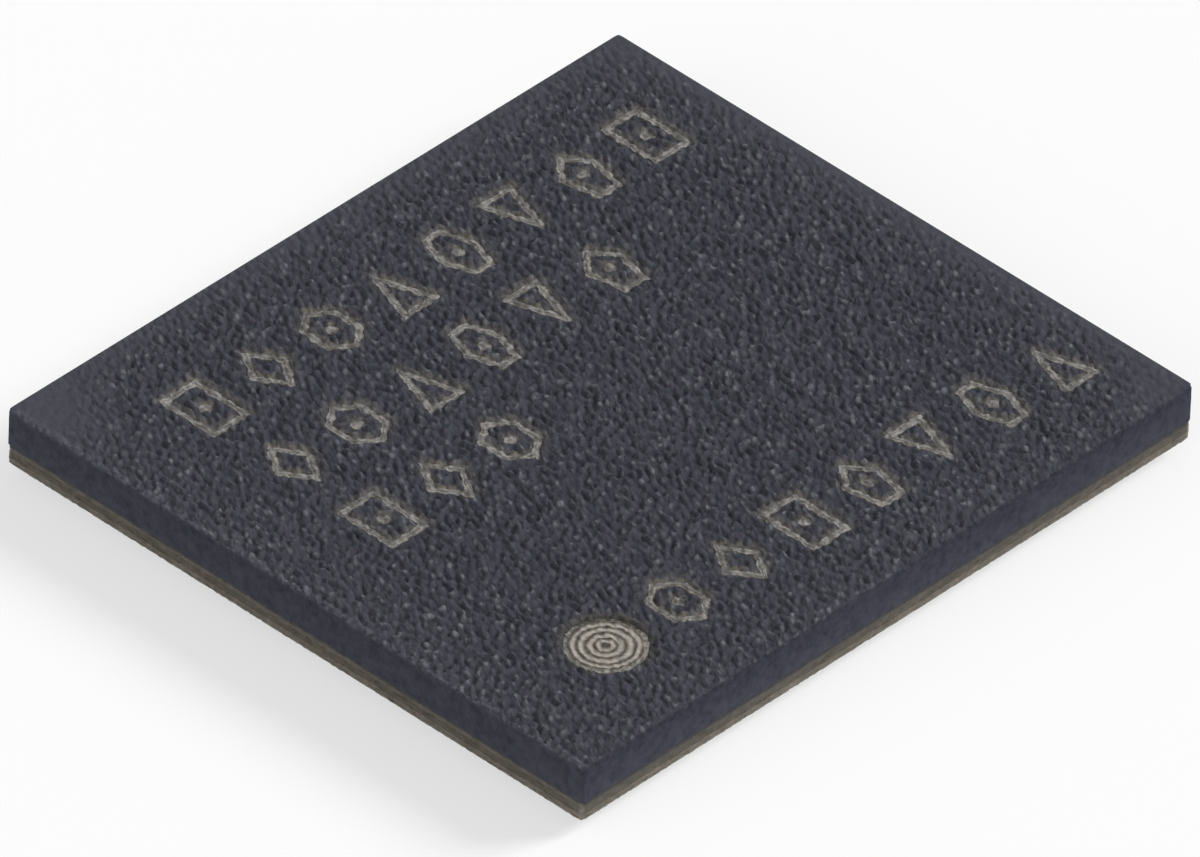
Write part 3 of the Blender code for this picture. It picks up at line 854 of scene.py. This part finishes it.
def build_slab(name, node, seed):
    """A layer of the substrate with a rough sawn edge."""
    low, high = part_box(node)
    points, travel = rim_outline(high.x, high.y)
    inward, tuck = rim_steps(points, high.x, high.y, SLAB_CORNER_ROUND, SLAB_CORNER_TUCK)
    saw = Field(SLAB_WAVE, ROUGH_SPREAD, seed)
    rings = []
    for height in np.linspace(low.z, high.z, SLAB_ROWS):
        rough = SLAB_ROUGHNESS * uneven(saw.at(travel, height), *SAW_NOISE)
        shifted = points + inward * (SLAB_INSET + rough + tuck)[:, None]
        rings.append(np.column_stack([shifted, np.full(len(points), height)]))
    count = len(points)
    loops = [list(range(row * count, row * count + count)) for row in range(SLAB_ROWS)]
    return add_piece(name, np.concatenate(rings), solid_faces(loops), sharp=35.0)


def via_tool():
    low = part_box("solder_mask_bottom")[0].z
    holes = [polygon(VIA_RADIUS, CUTTER_SIDES, place) for place in grid(VIA_COLUMNS, VIA_ROWS, VIA_PITCH)]
    return add_tool("via_holes", holes, low, MOULD_LOW.z)


def recess_tool(face, below, above):
    """Room for a copper sheet, so far below and above a face."""
    room = rectangle(HALF_LENGTH - COPPER_SETBACK + FIT_GAP, HALF_WIDTH - COPPER_SETBACK + FIT_GAP)
    return add_tool("recess", [room], face - below, face + above)


def build_substrate():
    """The five layers of the substrate, each with the room that its CAD node leaves for copper and balls."""
    layers = {node: build_slab(name, node, seed) for name, node, seed in SLABS}
    _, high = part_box("laminate_lower")
    carve(layers["laminate_lower"], [via_tool(), recess_tool(high.z, RECESS_DEPTH, OVERCUT)])
    carve(layers["laminate_core"], [via_tool()])
    low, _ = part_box("laminate_upper")
    carve(layers["laminate_upper"], [via_tool(), recess_tool(low.z, OVERCUT, RECESS_DEPTH)])
    low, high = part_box("solder_mask_top")
    _, fill_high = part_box("underfill")
    window = rectangle(fill_high.x + FIT_GAP, fill_high.y + FIT_GAP)
    opening = add_tool("window", [window], low.z - OVERCUT, high.z + OVERCUT)
    carve(layers["solder_mask_top"], [recess_tool(low.z, OVERCUT, RECESS_DEPTH), opening])
    low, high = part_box("solder_mask_bottom")
    balls = grid(BALL_COLUMNS, BALL_ROWS, BALL_PITCH)
    circles = [polygon(MASK_OPENING_RADIUS, CUTTER_SIDES, place) for place in balls]
    openings = add_tool("openings", circles, low.z - OVERCUT, high.z + OVERCUT)
    carve(layers["solder_mask_bottom"], [recess_tool(high.z, RECESS_DEPTH, OVERCUT), openings])
    for node, piece in layers.items():
        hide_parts(node)
    return layers


def ball_profile(rise):
    """Radius and height of each ring of a ball, from the seating plane up to its land."""
    centre = (BALL_LAND_RADIUS**2 + rise**2 - BALL_FLAT_RADIUS**2) / (2 * rise)
    radius = math.hypot(BALL_FLAT_RADIUS, centre)
    start = math.atan2(-centre, BALL_FLAT_RADIUS)
    end = math.atan2(rise - centre, BALL_LAND_RADIUS)
    for ring in range(BALL_RINGS):
        angle = start + (end - start) * ring / (BALL_RINGS - 1)
        yield radius * math.cos(angle), max(0.0, centre + radius * math.sin(angle))


def build_balls():
    """The balls, and the copper sheet that they are soldered to."""
    sheet_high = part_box("ball_grid")[1].z
    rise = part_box("solder_mask_bottom")[1].z - RECESS_DEPTH + FIT_GAP
    profile = list(ball_profile(rise))
    points = []
    faces = []
    for place in grid(BALL_COLUMNS, BALL_ROWS, BALL_PITCH):
        loops = []
        for radius, height in profile:
            first = len(points)
            points += [(px, py, height) for px, py in polygon(radius, BALL_SIDES, place)]
            loops.append(list(range(first, first + BALL_SIDES)))
        faces += solid_faces(loops)
    balls = add_piece("solder_balls", points, faces, sharp=50.0)
    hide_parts("ball_grid")
    outline = rectangle(HALF_LENGTH - COPPER_SETBACK, HALF_WIDTH - COPPER_SETBACK)
    bevel = COPPER_BEVEL
    levels = ((bevel, rise), (0.0, rise + bevel), (0.0, sheet_high - bevel), (bevel, sheet_high))
    points = []
    for inset, height in levels:
        points += [(px, py, height) for px, py in inset_outline(outline, inset)]
    loops = [list(range(4 * row, 4 * row + 4)) for row in range(len(levels))]
    sheet = add_piece("bottom_copper_sheet", points, solid_faces(loops), sharp=30.0)
    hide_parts("ball_grid")
    return balls, sheet


# Materials


def new_material(name):
    material = bpy.data.materials.new(name)
    material.use_nodes = True
    return material, material.node_tree, material.node_tree.nodes["Principled BSDF"]


def add_node(tree, kind, inputs=None, **settings):
    """A shader node with its properties set, and its inputs filled with values or other nodes' outputs."""
    made = tree.nodes.new("ShaderNode" + kind)
    for name, value in settings.items():
        setattr(made, name, value)
    fill(tree, made, inputs or {})
    return made


def fill(tree, node, inputs):
    for socket, value in inputs.items():
        if isinstance(value, bpy.types.NodeSocket):
            tree.links.new(value, node.inputs[socket])
        else:
            node.inputs[socket].default_value = value


def texture_place(tree, drawn=(1.0, 1.0, 1.0), turn=0.0):
    """The point's place in the part, turned about Z, so that a texture on it is drawn out along the axes."""
    coordinates = add_node(tree, "TexCoord").outputs["Object"]
    inputs = {"Vector": coordinates, "Rotation": (0.0, 0.0, turn), "Scale": drawn}
    return add_node(tree, "Mapping", inputs, vector_type="TEXTURE").outputs[0]


def noise(tree, wave, detail=2.0, roughness=0.5, drawn=(1.0, 1.0, 1.0)):
    """Noise from 0 to 1 whose blobs are about one wavelength apart."""
    place = texture_place(tree, drawn)
    inputs = {"Vector": place, "Scale": 1.0 / wave, "Detail": detail, "Roughness": roughness}
    return add_node(tree, "TexNoise", inputs).outputs[0]


def patches(tree, wave, low, high, start=0.0, end=1.0, **kind):
    """Soft patches about one wavelength apart, from the start value between them to the end value on them."""
    return remap(tree, noise(tree, wave, **kind), low, high, start, end)


def pebbles(tree):
    """Rounded bumps: their height, from 0 in the gaps to 1 on top, and a chance drawn for each of them."""
    place = texture_place(tree, PEBBLE_STRETCH, GRAIN_TURN)
    inputs = {"Vector": place, "Scale": 1.0 / PEBBLE_SIZE, "Smoothness": PEBBLE_SMOOTHNESS}
    cells = add_node(tree, "TexVoronoi", inputs, feature="SMOOTH_F1").outputs
    reach = cells["Distance"]
    chance = add_node(tree, "SeparateColor", {0: cells["Color"]}).outputs[0]
    return maths(tree, "SUBTRACT", 1.0, times(tree, reach, reach)), chance


def facing(tree, axis):
    """How far a face looks along an axis, from -1 to 1."""
    normal = add_node(tree, "NewGeometry").outputs["True Normal"]
    return add_node(tree, "SeparateXYZ", {0: normal}).outputs[axis]


def facing_front(tree):
    """1 on faces that look along -Y, and 0 on others."""
    return remap(tree, facing(tree, 1), *FRONT_RANGE)


def reach_beyond(tree, operation):
    """How far the point lies past the body's sides, the less or the more of the two: MINIMUM or MAXIMUM."""
    where = add_node(tree, "SeparateXYZ", {0: texture_place(tree)}).outputs
    over_x = maths(tree, "SUBTRACT", maths(tree, "ABSOLUTE", where[0]), HALF_LENGTH)
    over_y = maths(tree, "SUBTRACT", maths(tree, "ABSOLUTE", where[1]), HALF_WIDTH)
    return maths(tree, operation, over_x, over_y)


def near_corner(tree):
    """1 at the substrate's upright corners, and 0 away from them."""
    return remap(tree, reach_beyond(tree, "MINIMUM"), *CORNER_RANGE)


def remap(tree, value, low, high, start=0.0, end=1.0):
    return add_node(tree, "MapRange", {0: value, 1: low, 2: high, 3: start, 4: end}).outputs[0]


def maths(tree, operation, first, second=0.0):
    return add_node(tree, "Math", {0: first, 1: second}, operation=operation).outputs[0]


def times(tree, first, second):
    return maths(tree, "MULTIPLY", first, second)


def mix(tree, share, first, second):
    """Two colours mixed by the share of the second."""
    made = add_node(tree, "Mix", data_type="RGBA")
    colours = {}
    for socket, colour in ((6, first), (7, second)):
        colours[socket] = colour if isinstance(colour, bpy.types.NodeSocket) else (*colour, 1.0)
    fill(tree, made, {0: share, **colours})
    return made.outputs[2]


def attribute(tree, name):
    return add_node(tree, "Attribute", attribute_name=name).outputs[2]


def bump(tree, height, distance, **more):
    return add_node(tree, "Bump", {"Height": height, "Distance": distance, **more}).outputs[0]


def set_shader(tree, shader, colour, waves, rough, normal, more):
    """Fills in the shader; the waves take the roughness from its lowest value to its highest."""
    shades = remap(tree, waves, *NOISE_RANGE, *rough)
    fill(tree, shader, {"Base Color": colour, "Roughness": shades, "Normal": normal, **more})


def top_colour(tree, skin, relief):
    """Painted shade in the hollows of the grain and painted light on its peaks; paler where the skin is calm,
    partly as painted light, and paler towards the body's sides as painted light.
    """
    # Painted shade in the grain's hollows and painted light on its peaks
    colour = mix(tree, remap(tree, relief, *RELIEF_RANGE), GRAIN_HOLLOW_PAINTED_SHADE, GRAIN_PEAK_PAINTED_LIGHT)
    # The calm skin is paler, partly as painted light
    colour = mix(tree, skin, CALM_SKIN_AND_PAINTED_LIGHT, colour)
    # Painted light: the top is made paler towards the body's sides
    painted_border_light = remap(tree, reach_beyond(tree, "MAXIMUM"), *BORDER_PAINTED_LIGHT_RANGE)
    return mix(tree, painted_border_light, colour, BORDER_PAINTED_LIGHT)


def wall_colour(tree):
    """Mottled, with painted light from the floor making it lighter towards the bottom, and painted shade
    making it darkest near the top on the front face.
    """
    mottle = patches(tree, *MOTTLE, **SOME_DETAIL)
    high = mix(tree, mottle, *HIGH_WALL)
    # Painted shade on faces that look to the front
    high = mix(tree, times(tree, facing_front(tree), FRONT_SHADE_SHARE), high, FRONT_SHADE)
    return mix(tree, attribute(tree, "depth"), high, mix(tree, mottle, *LOW_WALL_PAINTED_LIGHT))


def mould_material():
    """Silica-filled epoxy: a matt grain with pale specks that are partly filler and partly painted glints,
    smoother on the sawn walls.
    """
    material, tree, shader = new_material("mould_compound")
    skin = attribute(tree, "skin")
    relief = attribute(tree, "relief")
    colour = mix(tree, attribute(tree, "flank"), top_colour(tree, skin, relief), wall_colour(tree))
    colour = mix(tree, patches(tree, *BLUE_PATCHES), colour, BLUE_TINT)
    colour = mix(tree, patches(tree, *VIOLET_PATCHES), colour, VIOLET_TINT)
    shape, chance = pebbles(tree)
    # Pale specks on the grain's peaks: partly filler, partly painted glints
    specks_and_glints = times(tree, remap(tree, shape, *SPECK_SHAPE), remap(tree, chance, *SPECK_CHANCE))
    specks_and_glints = times(tree, specks_and_glints, remap(tree, skin, *SPECK_SKIN))
    specks_and_glints = times(tree, specks_and_glints, remap(tree, relief, *SPECK_RELIEF))
    colour = mix(tree, specks_and_glints, colour, FILLER_AND_GLINT)
    for name, spots, tint in STAINS_AND_EDGE_LIGHT:
        colour = mix(tree, times(tree, attribute(tree, name), patches(tree, *spots)), colour, tint)
    fine = noise(tree, FINE_WAVE)
    strength = remap(tree, skin, 0.0, 1.0, WALL_BUMP_SHARE, 1.0)
    pebbled = bump(tree, times(tree, shape, strength), PEBBLE_HEIGHT)
    normal = bump(tree, times(tree, fine, strength), FINE_HEIGHT, Normal=pebbled)
    set_shader(tree, shader, colour, fine, MOULD_ROUGHNESS, normal, MOULD_SHEEN)
    return material


def mark_material(name, colours, patchy, faded):
    """Epoxy burnt by a laser: pale passes, brown between them, a crust at the rim, dark where it faded."""
    material, tree, shader = new_material(name)
    pale, brown, outer = colours
    uneven = patches(tree, *UNEVEN_PASSES, -patchy, patchy, **SOME_DETAIL)
    level = remap(tree, maths(tree, "ADD", attribute(tree, "track"), uneven), *PASS_RANGE)
    colour = mix(tree, level, brown, pale)
    blush = patches(tree, *BLUSH_PATCHES, detail=1.0)
    colour = mix(tree, times(tree, blush, level), colour, MARK_BLUSH)
    gaps = patches(tree, *FADED_PATCHES, faded, **SOME_DETAIL)
    colour = mix(tree, gaps, colour, MARK_GAP)
    broken = patches(tree, *RIM_PATCHES)
    colour = mix(tree, times(tree, attribute(tree, "rim"), broken), colour, outer)
    soot = times(tree, attribute(tree, "soot"), remap(tree, broken, *SOOT_RANGE))
    colour = mix(tree, soot, colour, SOOT)
    fine = noise(tree, BURNT_WAVE, **SOME_DETAIL)
    set_shader(tree, shader, colour, fine, MARK_ROUGHNESS, bump(tree, fine, FINE_HEIGHT), MARK_SHEEN)
    return material


def laminate_material(name, colours, smear=None):
    """Sawn glass and resin: streaks along the layer, flecks of copper dust and resin, and pale corners that
    are partly burr and partly painted highlight.

    A smear is the pair of heights between which mould compound, dragged over the front face, sets in.
    """
    material, tree, shader = new_material(name)
    pale, dark, fleck = colours
    streaks = patches(tree, *STREAKS, **MORE_DETAIL, drawn=STREAKS_DRAWN)
    colour = mix(tree, streaks, dark, pale)
    colour = mix(tree, patches(tree, *MOSS_PATCHES, drawn=MOSS_DRAWN), colour, MOSS)
    colour = mix(tree, patches(tree, *FLECKS), colour, fleck)
    # Pale corners: partly burr, partly painted highlight
    burr_and_highlight = times(tree, near_corner(tree), patches(tree, *BURR_AND_HIGHLIGHT_PATCHES))
    colour = mix(tree, burr_and_highlight, colour, BURR_AND_HIGHLIGHT)
    if smear:
        height = add_node(tree, "SeparateXYZ", {0: texture_place(tree)}).outputs[2]
        dragged = times(tree, remap(tree, height, *smear, 0.0, SMEAR_SHARE), facing_front(tree))
        colour = mix(tree, dragged, colour, DRAGGED_MOULD)
    saw = noise(tree, *SAW_MARKS)
    set_shader(tree, shader, colour, saw, LAMINATE_ROUGHNESS, bump(tree, saw, SAW_HEIGHT), LAMINATE_SHEEN)
    return material


def film_material(name, edge_colours, dragged=0.0):
    """Solder mask: a thin dark green film, half matt, whose sawn edge has dust of the next layers on it; the
    bottom film's pale edge also holds painted light from the floor.
    """
    material, tree, shader = new_material(name)
    colour = mix(tree, patches(tree, *FILM_CLOUDS, detail=3.0), *MASK)
    level = maths(tree, "ABSOLUTE", facing(tree, 2))
    edge = mix(tree, patches(tree, *EDGE_DUST, detail=3.0), *edge_colours)
    edge = mix(tree, times(tree, facing_front(tree), dragged), edge, DRAGGED_FILM)
    colour = mix(tree, remap(tree, level, *LEVEL_RANGE), colour, edge)
    ripple = noise(tree, FILM_RIPPLE)
    set_shader(tree, shader, colour, ripple, FILM_ROUGHNESS, bump(tree, ripple, FILM_HEIGHT), FILM_SHEEN)
    return material


def metal_material(name, colours, rough, wave):
    """Metal with a cloudy tarnish and a fine etched or cast skin."""
    material, tree, shader = new_material(name)
    colour = mix(tree, patches(tree, wave, *TARNISH, **MORE_DETAIL), *colours)
    skin = noise(tree, wave / 5, 3.0)
    set_shader(tree, shader, colour, skin, rough, bump(tree, skin, METAL_HEIGHT), {"Metallic": 1.0})
    return material


def ground_material(name, colours, rough, wave, drawn=(1.0, 1.0, 1.0)):
    """A ground or cast face, with streaks where its grain is drawn out along an axis."""
    material, tree, shader = new_material(name)
    pale, dark = colours
    lines = noise(tree, wave, drawn=drawn, **MORE_DETAIL)
    colour = mix(tree, remap(tree, lines, *NOISE_RANGE), dark, pale)
    set_shader(tree, shader, colour, lines, rough, bump(tree, lines, GROUND_HEIGHT), {})
    return material


def dress_node(name, material):
    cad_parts[name].material_slots[0].material = material


# Scene


def build_floor():
    mesh = bpy.data.meshes.new("floor")
    corners = rectangle(FLOOR_SIZE / 2, FLOOR_SIZE / 2)
    mesh.from_pydata([(x, y, -FLOOR_DROP) for x, y in corners], [], [(0, 1, 2, 3)])
    material, tree, _ = new_material("pale_floor")
    tree.nodes.clear()
    paper = add_node(tree, "BsdfDiffuse", {"Color": FLOOR_COLOUR}).outputs[0]
    seen = add_node(tree, "LightPath").outputs["Is Camera Ray"]
    share = times(tree, seen, FLOOR_WHITE_SHARE)
    white = add_node(tree, "Emission", {"Color": WHITE, "Strength": 1.0}).outputs[0]
    shown = add_node(tree, "MixShader", {0: share, 1: paper, 2: white}).outputs[0]
    add_node(tree, "OutputMaterial", {"Surface": shown})
    mesh.materials.append(material)
    floor = add_object("floor", mesh)


def light_world():
    """A soft even sky that the camera, metal and glass see as white."""
    world = bpy.data.worlds.new("studio")
    world.use_nodes = True
    tree = world.node_tree
    tree.nodes.clear()
    sky = add_node(tree, "Background", {"Color": WHITE, "Strength": WORLD_STRENGTH}).outputs[0]
    white = add_node(tree, "Background", {"Color": WHITE, "Strength": 1.0}).outputs[0]
    path = add_node(tree, "LightPath").outputs
    seen = maths(tree, "MAXIMUM", path["Is Camera Ray"], path["Is Glossy Ray"])
    seen = maths(tree, "MAXIMUM", seen, path["Is Transmission Ray"])
    shown = add_node(tree, "MixShader", {0: seen, 1: sky, 2: white}).outputs[0]
    add_node(tree, "OutputWorld", {"Surface": shown})
    bpy.context.scene.world = world


def direction(azimuth, elevation):
    """The way to a place seen at that bearing, which is 0 along -Y and grows towards +X, and that height."""
    across = math.cos(math.radians(elevation))
    turn = math.radians(azimuth)
    return Vector((math.sin(turn) * across, -math.cos(turn) * across, math.sin(math.radians(elevation))))


def add_lamp(name, level, azimuth, elevation, angle):
    """A broad lamp far off, which brightens a level white face by the level."""
    lamp = bpy.data.lights.new(name, "SUN")
    lamp.angle = math.radians(angle)
    lamp.energy = level * math.pi / math.sin(math.radians(elevation))
    holder = add_object(name, lamp)
    holder.rotation_mode = "QUATERNION"
    holder.rotation_quaternion = direction(azimuth, elevation).to_track_quat("Z", "Y")


def place_camera():
    back = direction(CAMERA_AZIMUTH, CAMERA_ELEVATION)
    level = direction(CAMERA_AZIMUTH + 90.0, 0.0)
    up = back.cross(level)
    roll = math.radians(CAMERA_ROLL)
    right = level * math.cos(roll) + up * math.sin(roll)
    top = up * math.cos(roll) - level * math.sin(roll)
    data = bpy.data.cameras.new("camera")
    data.lens = CAMERA_LENS
    data.clip_start, data.clip_end = CAMERA_CLIP
    camera = add_object("camera", data)
    turn = Matrix((right, top, back)).transposed().to_4x4()
    camera.matrix_world = Matrix.Translation(Vector(CAMERA_TARGET) + back * CAMERA_DISTANCE) @ turn
    bpy.context.scene.camera = camera


def dress_all(mould, marks, first_mark, layers, balls, sheet):
    """Gives each piece, and each CAD node that stays, its material."""
    dress(mould, mould_material())
    dress(marks, mark_material("burnt_marks", STROKES, patchy=0.45, faded=0.75))
    dress(first_mark, mark_material("burnt_rings", RINGS, patchy=0.15, faded=0.25))
    smear_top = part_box("laminate_upper")[1].z
    upper = laminate_material("upper_laminate", UPPER_LAMINATE, (smear_top - SMEAR_REACH, smear_top))
    dress(layers["laminate_upper"], upper)
    dress(layers["laminate_core"], laminate_material("core_laminate", CORE_LAMINATE))
    # The lower laminate is paler, partly as painted light from the floor
    dress(layers["laminate_lower"], laminate_material("lower_laminate", LOWER_LAMINATE_AND_BOUNCE_LIGHT))
    dress(layers["solder_mask_top"], film_material("top_mask", TOP_MASK_EDGE, dragged=0.95))
    # The bottom film's pale edge is partly painted light from the floor
    dress(layers["solder_mask_bottom"], film_material("bottom_mask", BOTTOM_MASK_EDGE_AND_BOUNCE_LIGHT))
    copper = metal_material("copper", COPPER, rough=(0.3, 0.5), wave=0.4e-3)
    dress(balls, metal_material("solder", SOLDER, rough=(0.25, 0.42), wave=0.12e-3))
    dress(sheet, copper)
    for node in ("copper_top", "copper_inner_upper", "copper_inner_lower"):
        dress_node(node, copper)
    silicon = ground_material("silicon", SILICON, rough=(0.2, 0.35), wave=0.1e-3, drawn=(1.0, 0.17, 1.0))
    dress_node("silicon_die", silicon)
    dress_node("underfill", ground_material("underfill_epoxy", UNDERFILL, rough=(0.35, 0.5), wave=0.08e-3))


def main():
    bpy.context.scene.view_settings.view_transform = "Standard"
    place_camera()
    light_world()
    for lamp in LAMPS:
        add_lamp(*lamp)
    build_floor()
    mould = build_mould()
    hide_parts("mould_cap")
    marks = build_marks()
    first_mark = build_first_mark()
    layers = build_substrate()
    balls, sheet = build_balls()
    dress_all(mould, marks, first_mark, layers, balls, sheet)


main()
